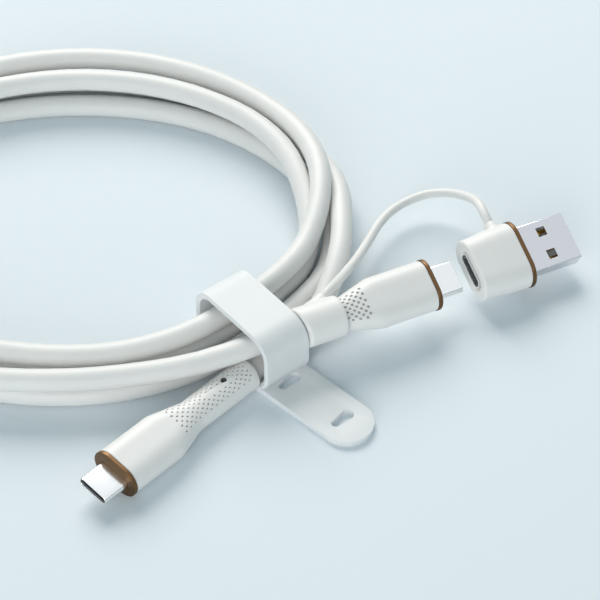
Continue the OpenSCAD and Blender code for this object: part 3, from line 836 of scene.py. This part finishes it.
class CABLE_OT_metalwork(bpy.types.Operator):
    """Rounds the shells and the trim rings"""

    bl_idname = "cable.metalwork"
    bl_label = "Make the Shells and Rings"

    def execute(self, context):
        edge = context.scene.cable_details.metal_edge / MM
        # Each edge is rounded by its share of the metal edge, less where the sheet is thin.
        for node, name, finish, body, slot, share in (
                ("plug_a_ring", "trim_ring_a", "copper_anodised", CABLE, "copper_ring", 1.3),
                ("plug_b_ring", "trim_ring_b", "copper_anodised", CABLE, "copper_ring", 1.3),
                ("adapter_ring", "trim_ring_adapter", "copper_anodised", ADAPTER,
                 "copper_ring", 1.3),
                ("plug_a_shell", "shell_a", "nickel_shell", CABLE, "steel", 0.9),
                ("plug_b_shell", "shell_b", "nickel_shell", CABLE, "steel", 0.9),
                ("usb_a_shell", "shell_adapter", "nickel_strip", ADAPTER, "steel", 0.6)):
            piece = copy_of(node, name)
            rounded(piece, share * edge)
            dress(piece, [finish], body, slot, node)
        return {"FINISHED"}


class CABLE_OT_adapter(bpy.types.Operator):
    """Moulds the adapter's body and the root of its tether"""

    bl_idname = "cable.adapter"
    bl_label = "Make the Adapter Body"

    def execute(self, context):
        tether_d = context.scene.cable_cords.tether_diameter / MM
        (front_w, front_t), (back_w, back_t) = ADAPTER_FRONT, ADAPTER_BACK
        # Each: place, width and thickness. The socket's mouth from inside out, the front's
        # rounding, the flanks as they widen, the back's rounding, and the cavity.
        profile = (
            (CAVITY_FROM, 8.74, 2.96), (0.9, 8.9, 3.1), (0.4, 9.7, 3.9), (0.08, 10.4, 4.6),
            (0.0, 10.8, 5.0),
            (0.0, front_w - 1.1, front_t - 1.1), (0.08, front_w - 0.6, front_t - 0.6),
            (0.3, front_w - 0.2, front_t - 0.2), (0.7, front_w, front_t),
            (2.6, front_w + 0.12, front_t + 0.1), (4.4, front_w + 0.45, front_t + 0.28),
            (6.0, front_w + 0.85, front_t + 0.46), (7.4, back_w - 0.24, back_t - 0.03),
            (9.0, back_w - 0.1, back_t), (ADAPTER_L - 0.12, back_w, back_t),
            (ADAPTER_L, back_w - 0.24, back_t - 0.24),
            (ADAPTER_L, CAVITY_W, CAVITY_T), (CAVITY_FROM, CAVITY_W, CAVITY_T))
        bm = bmesh.new()
        loft(bm, [stadium(x, w, t, 48) for x, w, t in profile], closed=True)
        body = meshed("adapter_grip", bm, ADAPTER_AT, sharp=40)
        dress(body, ["blasted_tpe_moulding"], ADAPTER, "moulding", "adapter_body")

        # The root narrows from the adapter's flank to the tether: place and diameter.
        bm = bmesh.new()
        loft(bm, [stadium(x, d, d, 28) for x, d in (
            (-0.9, 4.8), (-0.35, 4.4), (0.0, 3.9), (0.4, 3.5), (0.9, 3.1),
            (ROOT_L - 0.2, 2.7), (ROOT_L, tether_d + 0.2))])
        root = meshed("tether_root", bm,
                      ADAPTER_AT @ shift(ROOT_X, ROOT_Y, 0) @ turn("Z", 90), sharp=50)
        dress(root, ["blasted_tpe_moulding"], ADAPTER, "moulding")
        return {"FINISHED"}


class CABLE_OT_inner_parts(bpy.types.Operator):
    """Gives the carried-over inner parts their finishes"""

    bl_idname = "cable.inner_parts"
    bl_label = "Finish the Inner Parts"

    def execute(self, context):
        finish_of = {
            "insulator": "black_lcp", "contacts": "gold_contact", "latches": "nickel_shell",
            "card": "green_fr4", "chip": "epoxy_chip", "inner_mould": "inner_mould_pp",
            "core": "cord_core",
        }
        pairs = {f"plug_{tag}_{part}": finish
                 for tag in "ab" for part, finish in finish_of.items()}
        pairs |= {"adapter_board": "green_fr4", "usb_a_insulator": "white_nylon",
                  "usb_a_contacts": "gold_contact", "socket_shell": "nickel_shell",
                  "socket_tongue": "grey_lcp", "socket_contacts": "gold_contact"}
        for node, finish in pairs.items():
            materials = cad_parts[node].data.materials
            materials.clear()
            materials.append(bpy.data.materials[finish])
        return {"FINISHED"}


class CABLE_PT_panel(bpy.types.Panel):
    """Lists the makers of the cable's pieces"""

    bl_idname = "CABLE_PT_panel"
    bl_label = "Charging Cable"
    bl_space_type = "VIEW_3D"
    bl_region_type = "UI"
    bl_category = "Cable"

    def draw(self, context):
        layout = self.layout
        for group in (context.scene.cable_cords, context.scene.cable_details,
                      context.scene.cable_stage):
            for name in group.__annotations__:
                layout.prop(group, name)
        for maker in MAKERS:
            layout.operator(maker.bl_idname)


GROUPS = (CordSettings, DetailSettings, StageSettings)
MAKERS = (CABLE_OT_stage, CABLE_OT_cords, CABLE_OT_mouldings, CABLE_OT_sleeve,
          CABLE_OT_strap, CABLE_OT_metalwork, CABLE_OT_adapter, CABLE_OT_inner_parts)


def register():
    """Registers the settings, the makers and the panel."""
    for item in (*GROUPS, *MAKERS, CABLE_PT_panel):
        bpy.utils.register_class(item)
    bpy.types.Scene.cable_cords = PointerProperty(type=CordSettings)
    bpy.types.Scene.cable_details = PointerProperty(type=DetailSettings)
    bpy.types.Scene.cable_stage = PointerProperty(type=StageSettings)


def unregister():
    """Takes them away again."""
    del bpy.types.Scene.cable_cords, bpy.types.Scene.cable_details, bpy.types.Scene.cable_stage
    for item in reversed((*GROUPS, *MAKERS, CABLE_PT_panel)):
        bpy.utils.unregister_class(item)


def main():
    """Makes every piece."""
    register()
    make_finishes()
    for maker in MAKERS:
        group, name = maker.bl_idname.split(".")
        getattr(getattr(bpy.ops, group), name)()


if __name__ == "__main__":
    main()
